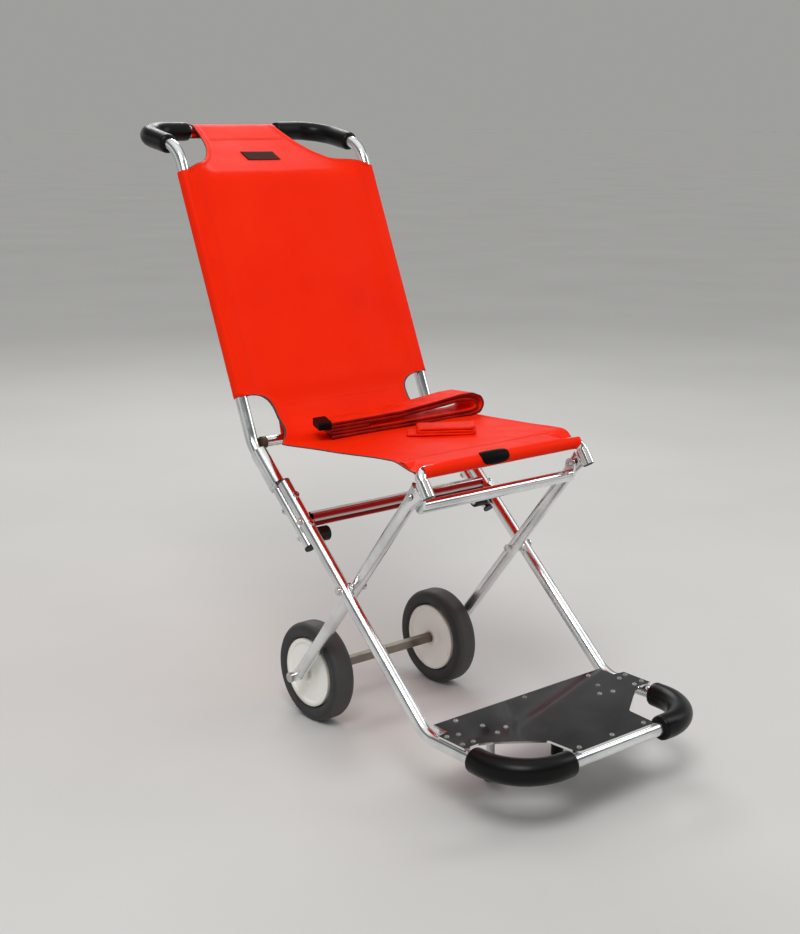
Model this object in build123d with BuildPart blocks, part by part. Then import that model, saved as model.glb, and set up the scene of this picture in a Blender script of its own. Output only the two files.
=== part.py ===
"""Folding carry chair: a fabric chair for stairs, on two wheels, with four hand grips.

Millimetres, +Z up. The chair faces -Y and is symmetric about X = 0. The origin is on the
floor under the middle of the chair. "left" is the -X side. Most shapes are laid out in the
side plane, whose coordinates are (y, z) measured from the floor under the wheel axle.
"""
import os
from math import atan2, cos, degrees, hypot, radians, sin, tan

from build123d import *

os.makedirs("parts", exist_ok=True)

# ---------------------------------------------------------------- driving dimensions
tube_od = 19.05
tube_wall = 1.65
tube_r = tube_od / 2

side_x = 174.0  # centre of the leg, platform and back tubes
wheel_r = 76.2
wheel_width = 36.4
wheel_outer_x = 140.6  # outboard face of each wheel
hub_r = 52.5
axle_r = 4.0
run_clearance = 0.05  # radial, in a running fit

leg_angle = radians(41.66)  # front legs above the horizontal
rear_angle = radians(51.07)  # rear legs above the horizontal
back_angle = radians(66.8)  # back tubes above the horizontal
handle_angle = radians(10.5)  # head-end handle loop above the horizontal

pivot = (-140.4, 251.0)  # where the two pairs of legs cross
leg_top_reach = 190.0  # pivot to the upper end of a front leg
platform_z = 91.2  # centre of the platform tubes
front_reach = 500.0  # axle to the centre of the platform's front tube
rear_reach = 384.0  # axle to the centre of the head-end cross tube
handle_z = 872.0
shoulder = (250.4, 814.3)  # where the back fabric's sleeves end
sleeve_bottom_z = 488.0

foot_grip_od = 33.0
head_grip_od = 30.0
foot_corner_r = 72.0
head_corner_r = 50.0
platform_bend_r = 50.0
back_bend_r = 60.0
neck_bend_r = 45.0

plate_t = 3.0
fabric_t = 2.5
pivot_gap = 1.6  # between a front leg and the rear leg beside it

# The grips' ends set the chair's depth, so the middle of the depth is Y = 0.
axle_y = (front_reach + foot_grip_od / 2 - rear_reach - head_grip_od / 2) / 2

rear_x = side_x - tube_od - pivot_gap  # centre of the rear legs
wheel_inner_x = wheel_outer_x - wheel_width


# ---------------------------------------------------------------- side-plane helpers
def at(x, point):
    """The 3-D point at x for a side-plane point."""
    return (x, point[0] + axle_y, point[1])


def step(point, angle, distance):
    """A side-plane point moved by distance along angle."""
    return (point[0] + distance * cos(angle), point[1] + distance * sin(angle))


def meet(point_a, angle_a, point_b, angle_b):
    """Where two side-plane lines cross."""
    across = sin(angle_b - angle_a)
    dy = point_b[0] - point_a[0]
    dz = point_b[1] - point_a[1]
    reach = (dy * sin(angle_b) - dz * cos(angle_b)) / across
    return step(point_a, angle_a, reach)


def cross_plane(x, point, angle):
    """A plane square to a side-plane direction: its local x is +X."""
    return Plane(origin=at(x, point), x_dir=(1, 0, 0), z_dir=(0, cos(angle), sin(angle)))


def side_plane(x):
    """The Y-Z plane at x: its local x is +Y and its local y is +Z."""
    return Plane.YZ.offset(x)


def flat(point):
    """A side-plane point in a side_plane sketch."""
    return (point[0] + axle_y, point[1])


def rod(x_from, x_to, point, radius, bore=0.0):
    """A round bar along X, or with a bore a washer or tube."""
    with BuildPart() as bar:
        with BuildSketch(side_plane(min(x_from, x_to))):
            with Locations(flat(point)):
                Circle(radius)
                if bore:
                    Circle(bore, mode=Mode.SUBTRACT)
        extrude(amount=abs(x_to - x_from))
    return bar.part


def bar_along(x, point, angle, radius, length):
    """A round bar along a side-plane direction, starting at a point."""
    with BuildPart() as bar:
        with BuildSketch(cross_plane(x, point, angle)):
            Circle(radius)
        extrude(amount=length)
    return bar.part


def screw(x, out, point, shank_r, length, head_r, head_t):
    """A dome-headed screw along X: its head's flat side is at x, facing out (+1 or -1)."""
    head = rod(x, x + out * head_t * 0.5, point, head_r)
    crown = rod(x + out * head_t * 0.5, x + out * head_t, point, head_r * 0.7)
    return head + crown + rod(x, x - out * length, point, shank_r)


def save(piece, label):
    """Label one finished sub-part and write it."""
    piece.label = label
    export_step(piece, "parts/" + label + ".step")


def save_pair(left, name):
    """Write a left-hand piece, and its mirror image on the right."""
    save(left, name + "_left")
    save(mirror(left, Plane.YZ), name + "_right")


def save_group(solids, name):
    """Write like pieces as one node of separate solids."""
    save(Compound(children=list(solids)), name)


def both_sides(solid):
    return [solid, mirror(solid, Plane.YZ)]


# ---------------------------------------------------------------- key side-plane points
leg_top = step(pivot, leg_angle, leg_top_reach)
leg_foot = meet(pivot, leg_angle, (0, platform_z), 0)
leg_normal = leg_angle - radians(90)  # towards the rear and down
splice_spacing = tube_od + pivot_gap
splice_line = step(pivot, leg_normal, splice_spacing)
back_bend = meet(splice_line, leg_angle, shoulder, back_angle)
neck_bend = meet(shoulder, back_angle, (rear_reach, handle_z), handle_angle)
back_tube_end = step(back_bend, leg_angle, -80.0)
spigot_end = step(back_bend, leg_angle, -190.0)
axle = (0.0, wheel_r)
rear_dir = radians(180) - rear_angle  # from the pivot up to the seat front
axle_reach = hypot(axle[0] - pivot[0], axle[1] - pivot[1])

seat_rear = (74.0, 424.0)  # centre of the rear seat tube
seat_rear_r = 8.0
seat_front = (-273.0, 441.0)  # centre of the front seat tube
seat_front_r = 8.0
stub_angle = radians(-124.8)  # its turned-down ends point forwards and down
stub_length = 37.0
stub_x = 151.0
stub_sleeve_r = 9.5

bar_centre = (-50.0, 332.5)  # centre of the cross bar between the front legs
pivot_bolt_r = 3.2
bolt_r = 2.5  # every other frame bolt
splice_reaches = (118.0, 168.0)  # the splice bolts, measured down from the back tube's bend


# ---------------------------------------------------------------- front legs and platform
def splice_bore(reach):
    """The hole for one splice bolt, through the spigot and the leg beside it."""
    behind = step(step(back_bend, leg_angle, -reach), leg_normal, tube_r)
    return bar_along(-side_x, behind, leg_normal, bolt_r, -(splice_spacing + 2 * tube_r))


leg_bores = [rod(-side_x - tube_od, -side_x + tube_od, pivot, pivot_bolt_r)]
leg_bores += [rod(-side_x - tube_od, -side_x + tube_od, bar_centre, bolt_r)]
leg_bores += [splice_bore(reach) for reach in splice_reaches]
leg_bores += [mirror(bore, Plane.YZ) for bore in leg_bores]
with BuildPart() as leg_platform_tube:
    with BuildLine() as leg_path:
        FilletPolyline(
            at(-side_x, leg_top),
            at(-side_x, leg_foot),
            at(-side_x, (-front_reach, platform_z)),
            at(side_x, (-front_reach, platform_z)),
            at(side_x, leg_foot),
            at(side_x, leg_top),
            radius=[platform_bend_r, foot_corner_r, foot_corner_r, platform_bend_r],
        )
    with BuildSketch(Plane(origin=leg_path.line @ 0, z_dir=leg_path.line % 0)):
        Circle(tube_r)
        Circle(tube_r - tube_wall, mode=Mode.SUBTRACT)
    sweep()
    add(leg_bores, mode=Mode.SUBTRACT)
save(leg_platform_tube.part, "leg_platform_tube")

# Each front leg's upper end is closed by a rubber plug.
plug_depth = 12.0


def tube_plug(x, end, outward, outer, bore_r, rim=2.5):
    """A plug in a tube's end: a rim outside and a stem inside."""
    with BuildPart() as plug:
        with BuildSketch(cross_plane(x, end, outward)):
            Circle(outer)
        extrude(amount=rim)
        with BuildSketch(cross_plane(x, end, outward)):
            Circle(bore_r)
        extrude(amount=-plug_depth)
    return plug.part


leg_plug = tube_plug(-side_x, leg_top, leg_angle, tube_r, tube_r - tube_wall)
save_group(both_sides(leg_plug), "leg_end_plugs")

# The platform plate lies on the tubes, with its front corners cut away for the hands.
plate_bottom = platform_z + tube_r
plate_outline = [
    (0, -318.0),
    (161.0, -318.0),
    (161.0, -346.0),
    (180.0, -350.0),
    (180.0, -401.0),
    (155.0, -401.0),
    (137.0, -410.0),
    (78.0, -452.0),
    (74.0, -502.0),
    (0, -502.0),
]
rivet_spots = [(0, -327), (-62, -492), (0, -492), (62, -492)]
for x in (-1, 1):
    rivet_spots += [(x * 129, -327), (x * 156, -363), (x * 156, -392)]
    rivet_spots += [(x * 112, -362), (x * 112, -391), (x * 91, -385)]
    rivet_spots += [(x * 173, -359), (x * 173, -390)]
rivet_hole_r = 1.6
with BuildPart() as foot_plate:
    with BuildSketch(Plane.XY.offset(plate_bottom)) as plate_sketch:
        with BuildLine():
            Polyline([(x, y + axle_y) for x, y in plate_outline], close=True)
        make_face()
        mirror(about=Plane.YZ)
        fillet(plate_sketch.vertices().filter_by(lambda v: 70 < abs(v.X) < 140), 9)
    extrude(amount=plate_t)
    with BuildSketch(Plane.XY.offset(plate_bottom)):
        with Locations(*[(x, y + axle_y) for x, y in rivet_spots]):
            Circle(rivet_hole_r)
    extrude(amount=plate_t, mode=Mode.SUBTRACT)
save(foot_plate.part, "foot_plate")

with BuildPart() as plate_rivets:
    with BuildSketch(Plane.XY.offset(plate_bottom)):
        with Locations(*[(x, y + axle_y) for x, y in rivet_spots]):
            Circle(rivet_hole_r)
    extrude(amount=plate_t)
    with BuildSketch(Plane.XY.offset(plate_bottom + plate_t)):
        with Locations(*[(x, y + axle_y) for x, y in rivet_spots]):
            Circle(3.4)
    extrude(amount=1.4, taper=25)
save_group(plate_rivets.part.solids(), "plate_rivets")

# A light angle strip stiffens the plate's rear edge between the legs.
angle_leg = 14.0
angle_t = 1.6
angle_half = 150.0
with BuildPart() as plate_rear_angle:
    with BuildSketch(side_plane(-angle_half)):
        with Locations((-318 + axle_y, plate_bottom)):
            Rectangle(angle_leg, angle_t, align=(Align.MAX, Align.MAX))
            Rectangle(angle_t, angle_leg, align=(Align.MIN, Align.MAX))
            Rectangle(angle_t, angle_t, align=(Align.MIN, Align.MIN))
    extrude(amount=2 * angle_half)
save(plate_rear_angle.part, "plate_rear_angle")

# Two rubber-tipped posts under the plate hold the platform up when the chair stands.
post_x = 66.0
post_y = -317.0 - 12.0
post_r = 6.0
tip_r = 9.0
tip_height = 22.0
post_top = plate_bottom - angle_t
with BuildPart() as post:
    with BuildSketch(Plane.XY.offset(4.0)):
        with Locations((-post_x, post_y + axle_y)):
            Circle(post_r)
    extrude(amount=post_top - 4.0)
    with BuildSketch(Plane.XY.offset(post_top - 3.0)):
        with Locations((-post_x, post_y - 4 + axle_y)):
            RectangleRounded(26, 20, 4)
    extrude(amount=3.0)
save_pair(post.part, "rest_post")

with BuildPart() as post_tip:
    with BuildSketch():
        with Locations((-post_x, post_y + axle_y)):
            Circle(tip_r)
    extrude(amount=tip_height)
    fillet(post_tip.faces().sort_by(Axis.Z)[-1].edges(), 2.0)
    with BuildSketch(Plane.XY.offset(4.0)):
        with Locations((-post_x, post_y + axle_y)):
            Circle(post_r)
    extrude(amount=tip_height, mode=Mode.SUBTRACT)
save_group(both_sides(post_tip.part), "rest_post_tips")


# ---------------------------------------------------------------- grips
def grip(points, radius, outer):
    """A hand grip: a rubber sleeve that follows the tube round a corner."""
    with BuildPart() as sleeve:
        with BuildLine() as path:
            FilletPolyline(*points, radius=radius)
        with BuildSketch(Plane(origin=path.line @ 0, z_dir=path.line % 0)):
            Circle(outer)
            Circle(tube_r, mode=Mode.SUBTRACT)
        sweep()
    return sleeve.part


foot_grip = grip(
    [
        at(-side_x, (-403.0, platform_z)),
        at(-side_x, (-front_reach, platform_z)),
        at(-76.0, (-front_reach, platform_z)),
    ],
    foot_corner_r,
    foot_grip_od / 2,
)
save_pair(foot_grip, "foot_grip")

head_corner = (rear_reach, handle_z)
head_grip = grip(
    [
        at(-side_x, step(head_corner, handle_angle, -(rear_reach - 291) / cos(handle_angle))),
        at(-side_x, head_corner),
        at(-84.0, head_corner),
    ],
    head_corner_r,
    head_grip_od / 2,
)
save_pair(head_grip, "head_grip")

# ---------------------------------------------------------------- back frame
with BuildPart() as back_tube:
    with BuildLine() as back_path:
        FilletPolyline(
            at(-side_x, back_tube_end),
            at(-side_x, back_bend),
            at(-side_x, neck_bend),
            at(-side_x, head_corner),
            at(side_x, head_corner),
            at(side_x, neck_bend),
            at(side_x, back_bend),
            at(side_x, back_tube_end),
            radius=[back_bend_r, neck_bend_r, head_corner_r, head_corner_r, neck_bend_r, back_bend_r],
        )
    with BuildSketch(Plane(origin=back_path.line @ 0, z_dir=back_path.line % 0)):
        Circle(tube_r)
        Circle(tube_r - tube_wall, mode=Mode.SUBTRACT)
    sweep()
save(back_tube.part, "back_tube")

# A wider sleeve covers each splice, and a spigot runs on down behind the leg.
spigot_r = tube_r - tube_wall
sleeve_r = tube_r + 1.5
sleeve_from = 18.0
sleeve_to = 80.0
sleeve_start = step(back_bend, leg_angle, -sleeve_from)
flange_reach = 6.5  # how far the sleeve's flat side stands out towards the leg
with BuildPart() as splice_sleeve:
    with BuildSketch(cross_plane(-side_x, sleeve_start, leg_angle)):
        Circle(sleeve_r)
        with Locations((0, -flange_reach)):
            Circle(sleeve_r)
        with Locations((0, -flange_reach / 2)):
            Rectangle(2 * sleeve_r, flange_reach)
        Circle(tube_r, mode=Mode.SUBTRACT)
    extrude(amount=-(sleeve_to - sleeve_from))
save_pair(splice_sleeve.part, "splice_sleeve")

with BuildPart() as spigot:
    with BuildSketch(cross_plane(-side_x, step(back_bend, leg_angle, -40.0), leg_angle)):
        Circle(spigot_r)
        Circle(spigot_r - tube_wall, mode=Mode.SUBTRACT)
    extrude(amount=-150.0)
    add([splice_bore(reach) for reach in splice_reaches], mode=Mode.SUBTRACT)
save_pair(spigot.part, "spigot_tube")

# A black collar fills the sleeve's lower mouth round the spigot.
with BuildPart() as sleeve_collar:
    with BuildSketch(cross_plane(-side_x, back_tube_end, leg_angle)):
        Circle(sleeve_r - 0.8)
        with Locations((0, -flange_reach)):
            Circle(sleeve_r - 1.6)
        Circle(spigot_r, mode=Mode.SUBTRACT)
    extrude(amount=-4.0)
save_group(both_sides(sleeve_collar.part), "sleeve_collars")

spigot_plug = tube_plug(-side_x, spigot_end, leg_angle + radians(180), spigot_r + 0.8, spigot_r - tube_wall)
save_group(both_sides(spigot_plug), "spigot_plugs")


def splice_bolt(reach):
    """A bolt through a spigot and the leg beside it, square to both."""
    seat = step(step(back_bend, leg_angle, -reach), leg_normal, spigot_r)
    with BuildPart() as bolt:
        with BuildSketch(cross_plane(-side_x, seat, leg_normal)):
            RegularPolygon(5.5, 6)
        extrude(amount=3.5)
        with BuildSketch(cross_plane(-side_x, seat, leg_normal)):
            Circle(bolt_r)
        extrude(amount=-(spigot_r + splice_spacing + tube_r + 3.0))
    return bolt.part


save_group(
    [half for reach in splice_reaches for half in both_sides(splice_bolt(reach))],
    "splice_bolts",
)


def splice_nut(reach):
    """The dome nut on the leg's side of a splice bolt."""
    seat = step(step(back_bend, leg_angle, -reach), leg_normal, -(splice_spacing + tube_r))
    with BuildPart() as nut:
        with BuildSketch(cross_plane(-side_x, seat, leg_normal)):
            RegularPolygon(5.0, 6)
            Circle(bolt_r, mode=Mode.SUBTRACT)
        extrude(amount=-3.5)
    return nut.part


save_group(
    [half for reach in splice_reaches for half in both_sides(splice_nut(reach))],
    "splice_nuts",
)

# ---------------------------------------------------------------- cross bar and bumpers
bar_height = 20.0
bar_depth = 13.0
bar_half = side_x - tube_r
with BuildPart() as leg_cross_bar:
    with BuildSketch(side_plane(-bar_half)):
        with Locations(flat(bar_centre)):
            RectangleRounded(bar_depth, bar_height, 2.0)
            RectangleRounded(bar_depth - 3.2, bar_height - 3.2, 1.0, mode=Mode.SUBTRACT)
    extrude(amount=2 * bar_half)
save(leg_cross_bar.part, "leg_cross_bar")

bar_bolt = screw(-(side_x + tube_r), -1, bar_centre, bolt_r, 2 * tube_r + 8, 6.0, 4.0)
save_group(both_sides(bar_bolt), "cross_bar_bolts")

bumper_centre = (-60.0, 311.0)
bumper_r = 11.0
bumper = rod(-(side_x - tube_r - 3), -(side_x - tube_r - 21), bumper_centre, bumper_r, 3.0)
save_group(both_sides(bumper), "fold_bumpers")
bumper_screw = rod(-(side_x - tube_r - 0.2), -(side_x - tube_r - 21), bumper_centre, 3.0)
bumper_screw += rod(-(side_x - tube_r - 21), -(side_x - tube_r - 23.5), bumper_centre, 6.5)
save_group(both_sides(bumper_screw), "bumper_screws")

# ---------------------------------------------------------------- scissor pivots
bolt_out = side_x + tube_r
nut_in = rear_x - tube_r - 0.4
pivot_bolt = screw(-bolt_out, -1, pivot, pivot_bolt_r, bolt_out - nut_in + 4.5, 7.0, 4.0)
save_group(both_sides(pivot_bolt), "pivot_bolts")
pivot_washer = rod(-(side_x - tube_r), -(side_x - tube_r - 1.2), pivot, 8.0, pivot_bolt_r)
save_group(both_sides(pivot_washer), "pivot_washers")
with BuildPart() as pivot_nut:
    with BuildSketch(side_plane(-nut_in)):
        with Locations(flat(pivot)):
            RegularPolygon(6.5, 6)
            Circle(pivot_bolt_r, mode=Mode.SUBTRACT)
    extrude(amount=5.0)
save_group(both_sides(pivot_nut.part), "pivot_nuts")

# ---------------------------------------------------------------- rear seat tube
bush_from = 157.0
seat_rear_tube = rod(-bush_from, bush_from, seat_rear, seat_rear_r, seat_rear_r - tube_wall)
save(seat_rear_tube, "seat_rear_tube")
bush = rod(-bush_from, -(side_x - tube_r), seat_rear, seat_rear_r + 1.0)
save_group(both_sides(bush), "seat_tube_bushes")

# ---------------------------------------------------------------- rear legs
paddle_from = 186.0
paddle_to = 216.0
leg_bolt_point = step(pivot, rear_dir, 202.0)
leg_bolt_seat = rear_x + 8.4
stub_cutter = bar_along(-stub_x, step(seat_front, stub_angle, -10), stub_angle, stub_sleeve_r + 0.1, 80)
boss_r = 7.5
boss_cutter = rod(-rear_x - tube_od, -rear_x + tube_od, axle, boss_r)
swivel_cutter = rod(-rear_x - tube_od, -rear_x + tube_od, pivot, pivot_bolt_r + run_clearance)
leg_bolt_bore = rod(-rear_x - tube_od, -rear_x + tube_od, leg_bolt_point, bolt_r)
rear_start = step(pivot, rear_dir, paddle_from)
with BuildPart() as rear_leg:
    with BuildSketch(cross_plane(-rear_x, rear_start, rear_dir)):
        Circle(tube_r)
        Circle(tube_r - tube_wall, mode=Mode.SUBTRACT)
    extrude(amount=-(paddle_from + axle_reach))
    with BuildSketch(cross_plane(-rear_x, rear_start, rear_dir)):
        Circle(tube_r)
    with BuildSketch(cross_plane(-rear_x, step(pivot, rear_dir, paddle_to), rear_dir)):
        Ellipse(6.0, 13.5)
    loft()
    add([stub_cutter, boss_cutter, swivel_cutter, leg_bolt_bore], mode=Mode.SUBTRACT)
leg_piece = rear_leg.part.solids().sort_by(SortBy.VOLUME)[-1]
save_pair(leg_piece, "rear_leg")

boss_outer_x = 171.0
boss_inner_x = wheel_outer_x + 1.0
boss = rod(-boss_outer_x, -boss_inner_x, axle, boss_r, axle_r)
save_group(both_sides(boss), "axle_bosses")

# ---------------------------------------------------------------- front seat tube
with BuildPart() as seat_front_tube:
    with BuildLine() as front_path:
        FilletPolyline(
            at(-stub_x, step(seat_front, stub_angle, stub_length - 6)),
            at(-stub_x, seat_front),
            at(stub_x, seat_front),
            at(stub_x, step(seat_front, stub_angle, stub_length - 6)),
            radius=12.0,
        )
    with BuildSketch(Plane(origin=front_path.line @ 0, z_dir=front_path.line % 0)):
        Circle(seat_front_r)
        Circle(seat_front_r - tube_wall, mode=Mode.SUBTRACT)
    sweep()
save(seat_front_tube.part, "seat_front_tube")

sleeve_at = 14.0
with BuildPart() as stub_sleeve:
    with BuildSketch(cross_plane(-stub_x, step(seat_front, stub_angle, sleeve_at), stub_angle)):
        Circle(stub_sleeve_r)
        Circle(seat_front_r, mode=Mode.SUBTRACT)
    extrude(amount=stub_length - sleeve_at)
save_group(both_sides(stub_sleeve.part), "seat_front_sleeves")

with BuildPart() as stub_plug:
    with BuildSketch(cross_plane(-stub_x, step(seat_front, stub_angle, stub_length - 6), stub_angle)):
        Circle(seat_front_r)
    extrude(amount=3.0)
save_group(both_sides(stub_plug.part), "seat_front_plugs")

# ---------------------------------------------------------------- front cross tube
cross_tube_r = 8.5
cross_centre = step(step(pivot, rear_dir, 188.0), rear_dir + radians(90), 10.0)
tab_dy = leg_bolt_point[0] - cross_centre[0]
tab_dz = leg_bolt_point[1] - cross_centre[1]
tab_angle = degrees(atan2(tab_dz, tab_dy))
tab_length = hypot(tab_dy, tab_dz)
tab_outer = rear_x - tube_r - 0.1
tab_inner = tab_outer - 4.0
tab_bores = both_sides(rod(-tab_outer - 1, -tab_inner + 1, leg_bolt_point, bolt_r))
with BuildPart() as front_cross_tube:
    with BuildSketch(side_plane(-tab_inner)):
        with Locations(flat(cross_centre)):
            Circle(cross_tube_r)
            Circle(cross_tube_r - tube_wall, mode=Mode.SUBTRACT)
    extrude(amount=2 * tab_inner)
    for x in (-tab_outer, tab_inner):
        with BuildSketch(side_plane(x)):
            with Locations(Location(flat(cross_centre), tab_angle)):
                with Locations((tab_length / 2, 0)):
                    SlotCenterToCenter(tab_length, 2 * cross_tube_r)
        extrude(amount=tab_outer - tab_inner)
    add(tab_bores, mode=Mode.SUBTRACT)
save(front_cross_tube.part, "front_cross_tube")

# A bolt on each side holds the cross tube's tab against the rear leg's flattened end.
leg_bolt_length = leg_bolt_seat - tab_inner + 4.0
leg_bolt = screw(-leg_bolt_seat, -1, leg_bolt_point, bolt_r, leg_bolt_length, 5.5, 3.0)
save_group(both_sides(leg_bolt), "seat_front_bolts")

# ---------------------------------------------------------------- axle
bar_side = 12.7
bar_end = wheel_inner_x - 1.0
with BuildPart() as axle_bar:
    with BuildSketch(side_plane(-bar_end)):
        with Locations(flat(axle)):
            RectangleRounded(bar_side, bar_side, 1.0)
            Circle(axle_r, mode=Mode.SUBTRACT)
    extrude(amount=2 * bar_end)
save(axle_bar.part, "axle_bar")

save(rod(-boss_outer_x, boss_outer_x, axle, axle_r), "axle_rod")
end_cap = rod(-boss_outer_x, -(boss_outer_x + 2), axle, boss_r)
save_group(both_sides(end_cap), "axle_end_caps")
outer_washer = rod(-(wheel_outer_x + 0.1), -boss_inner_x, axle, 9.0, axle_r)
inner_washer = rod(-bar_end, -(wheel_inner_x - 0.1), axle, 9.0, axle_r)
save_group(both_sides(outer_washer) + both_sides(inner_washer), "axle_washers")

# ---------------------------------------------------------------- wheels
bush_r = 6.0
web_inset = 3.0
with BuildPart() as wheel_hub:
    with BuildSketch(Plane.XZ.offset(-axle_y)):
        with BuildLine():
            Polyline(
                (-wheel_outer_x, wheel_r + bush_r),
                (-wheel_outer_x, wheel_r + 13.0),
                (-wheel_outer_x + web_inset, wheel_r + 16.0),
                (-wheel_outer_x + web_inset, wheel_r + 44.0),
                (-wheel_outer_x + 0.8, wheel_r + 47.5),
                (-wheel_outer_x + 0.8, wheel_r + hub_r),
                (-wheel_inner_x - 0.8, wheel_r + hub_r),
                (-wheel_inner_x - 0.8, wheel_r + 47.5),
                (-wheel_inner_x - web_inset, wheel_r + 44.0),
                (-wheel_inner_x - web_inset, wheel_r + 16.0),
                (-wheel_inner_x, wheel_r + 13.0),
                (-wheel_inner_x, wheel_r + bush_r),
                close=True,
            )
        make_face()
    revolve(axis=Axis(at(0, axle), (1, 0, 0)))
save_pair(wheel_hub.part, "wheel_hub")

tyre_corner = 10.0
with BuildPart() as wheel_tyre:
    with BuildSketch(Plane.XZ.offset(-axle_y)) as tyre_sketch:
        with Locations((-(wheel_outer_x + wheel_inner_x) / 2, wheel_r + hub_r)):
            Rectangle(wheel_width, wheel_r - hub_r, align=(Align.CENTER, Align.MIN))
        fillet(tyre_sketch.vertices().group_by(Axis.Z)[-1], tyre_corner)
    revolve(axis=Axis(at(0, axle), (1, 0, 0)))
save_pair(wheel_tyre.part, "wheel_tyre")

wheel_bush = rod(-wheel_outer_x, -wheel_inner_x, axle, bush_r, axle_r + run_clearance)
save_pair(wheel_bush, "wheel_bush")

# ---------------------------------------------------------------- fabric
# One cloth runs from the head-end cross tube down the back, round a soft bend in front of
# the rear seat tube, and forward to the front seat tube. Its back part is sleeved on the
# back tubes. back_sling is the part down to the sleeves' lower ends, seat_sling the rest.
panel_lift = 8.0  # the back panel lies this far in front of the tubes' centres
panel_edge_x = 167.0
sling_bend_r = 72.0
sleeve_bottom = step(shoulder, back_angle, -(shoulder[1] - sleeve_bottom_z) / sin(back_angle))
panel_length = hypot(shoulder[0] - sleeve_bottom[0], shoulder[1] - sleeve_bottom[1])
fabric_sleeve_r = tube_r + 1.2
neck_half = 81.0
neck_start = step(step(shoulder, back_angle, -12.0), back_angle + radians(90), panel_lift)
neck_angle = atan2(handle_z - neck_start[1], rear_reach - neck_start[0])
neck_length = hypot(handle_z - neck_start[1], rear_reach - neck_start[0]) - tube_r - 0.2
with BuildPart() as back_sling:
    with BuildSketch(cross_plane(0, sleeve_bottom, back_angle)):
        with Locations((0, -panel_lift)):
            Rectangle(2 * panel_edge_x, fabric_t)
        with Locations((-side_x, 0), (side_x, 0)):
            Circle(fabric_sleeve_r)
            Circle(tube_r + 0.02, mode=Mode.SUBTRACT)
    extrude(amount=panel_length)
    with BuildSketch(cross_plane(0, neck_start, neck_angle)):
        Rectangle(2 * neck_half, fabric_t)
    extrude(amount=neck_length)
save(back_sling.part, "back_sling")

label_x = -8.0
label_start = step(neck_start, neck_angle, 46.0)
with BuildPart() as back_label:
    with BuildSketch(cross_plane(0, label_start, neck_angle)):
        with Locations((label_x, -fabric_t / 2 - 0.4)):
            Rectangle(62, 0.8)
    extrude(amount=26.0)
save(back_label.part, "back_label")

seat_half = 176.0  # the seat is as wide as the back
tail_half = 126.0  # and is notched on each side where the rear seat tube's ends pass
seat_back_edge = (seat_rear[0], seat_rear[1] + seat_rear_r + 1.6)
seat_front_edge = (seat_front[0], seat_front[1] + seat_front_r + 1.6)
seat_slope = atan2(seat_front_edge[1] - seat_back_edge[1], seat_front_edge[0] - seat_back_edge[0])
panel_bottom = step(sleeve_bottom, back_angle + radians(90), panel_lift)
tail_top = step(panel_bottom, back_angle, -0.3)
sling_corner = meet(panel_bottom, back_angle, seat_back_edge, seat_slope)
seat_wide_from = -250.0
seat_wide_to = 0.0


def seat_point(y, lift=0.0):
    """The side-plane point over y on the seat fabric's middle surface, raised by lift."""
    return (y, seat_back_edge[1] + (y - seat_back_edge[0]) * tan(seat_slope) + lift)


with BuildPart() as seat_sling:
    with BuildSketch(side_plane(-tail_half)):
        with BuildLine():
            FilletPolyline(flat(seat_front_edge), flat(sling_corner), flat(tail_top), radius=sling_bend_r)
        trace(line_width=fabric_t)
    extrude(amount=2 * tail_half)
    with BuildSketch(cross_plane(0, seat_point(seat_wide_to), seat_slope)):
        Rectangle(2 * seat_half, fabric_t)
    extrude(amount=(seat_wide_to - seat_wide_from) / cos(seat_slope + radians(180)))
save(seat_sling.part, "seat_sling")

# ---------------------------------------------------------------- straps
# The body strap lies folded across the seat: a stack at the left, an open loop at the right.
strap_y = -2.0
strap_width = 50.0
on_seat = fabric_t / 2 + 0.3
strap_base = seat_point(strap_y - strap_width / 2, on_seat)[1]
strap_outline = [
    (-92, 0),
    (176, 0),
    (186, 8),
    (186, 20),
    (168, 32),
    (120, 32),
    (-40, 20),
    (-92, 18),
]
with BuildPart() as body_strap:
    with BuildSketch(Plane.XZ.offset(-(strap_y + strap_width / 2 + axle_y))):
        with BuildLine():
            Polyline([(x, strap_base + height) for x, height in strap_outline], close=True)
        make_face()
    extrude(amount=strap_width)
save(body_strap.part, "body_strap")

buckle_length = 28.0
with BuildPart() as strap_buckle:
    with BuildSketch(Plane.XY.offset(strap_base)):
        with Locations((strap_outline[0][0] - buckle_length / 2 - 0.3, strap_y + axle_y)):
            RectangleRounded(buckle_length, strap_width, 3)
    extrude(amount=20.0)
save(strap_buckle.part, "strap_buckle")

# A second folded strap lies askew in front of it.
bundle_x = 38.0
bundle_y = -112.0
bundle_turn = -39.0
bundle_base = seat_point(bundle_y - 52, on_seat)[1]
with BuildPart() as strap_bundle:
    with BuildSketch(Plane.XY.offset(bundle_base)):
        with Locations(Location((bundle_x, bundle_y + axle_y), bundle_turn)):
            RectangleRounded(96, 52, 6)
    extrude(amount=12.0)
save(strap_bundle.part, "strap_bundle")

# A black pull tab is sewn over the seat's front edge.
with BuildPart() as pull_tab:
    with BuildSketch(cross_plane(-10, seat_point(seat_front[0] + 4, on_seat + 0.9), seat_slope)):
        RectangleRounded(44, 1.6, 0.7)
    extrude(amount=-20.0)
save(pull_tab.part, "pull_tab")
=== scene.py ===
"""Looks for the folding carry chair: its cloth, straps, grips and finishes, over the CAD frame.

Helper functions take millimetres. A side-plane point is (y, z), measured from the floor under
the wheel axle. The chair faces -Y, and "left" is the -X side.
"""

from bisect import bisect_left
from math import asin, atan2, copysign, cos, exp, hypot, pi, radians, sin, tan

import bpy
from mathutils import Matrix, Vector, noise


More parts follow.
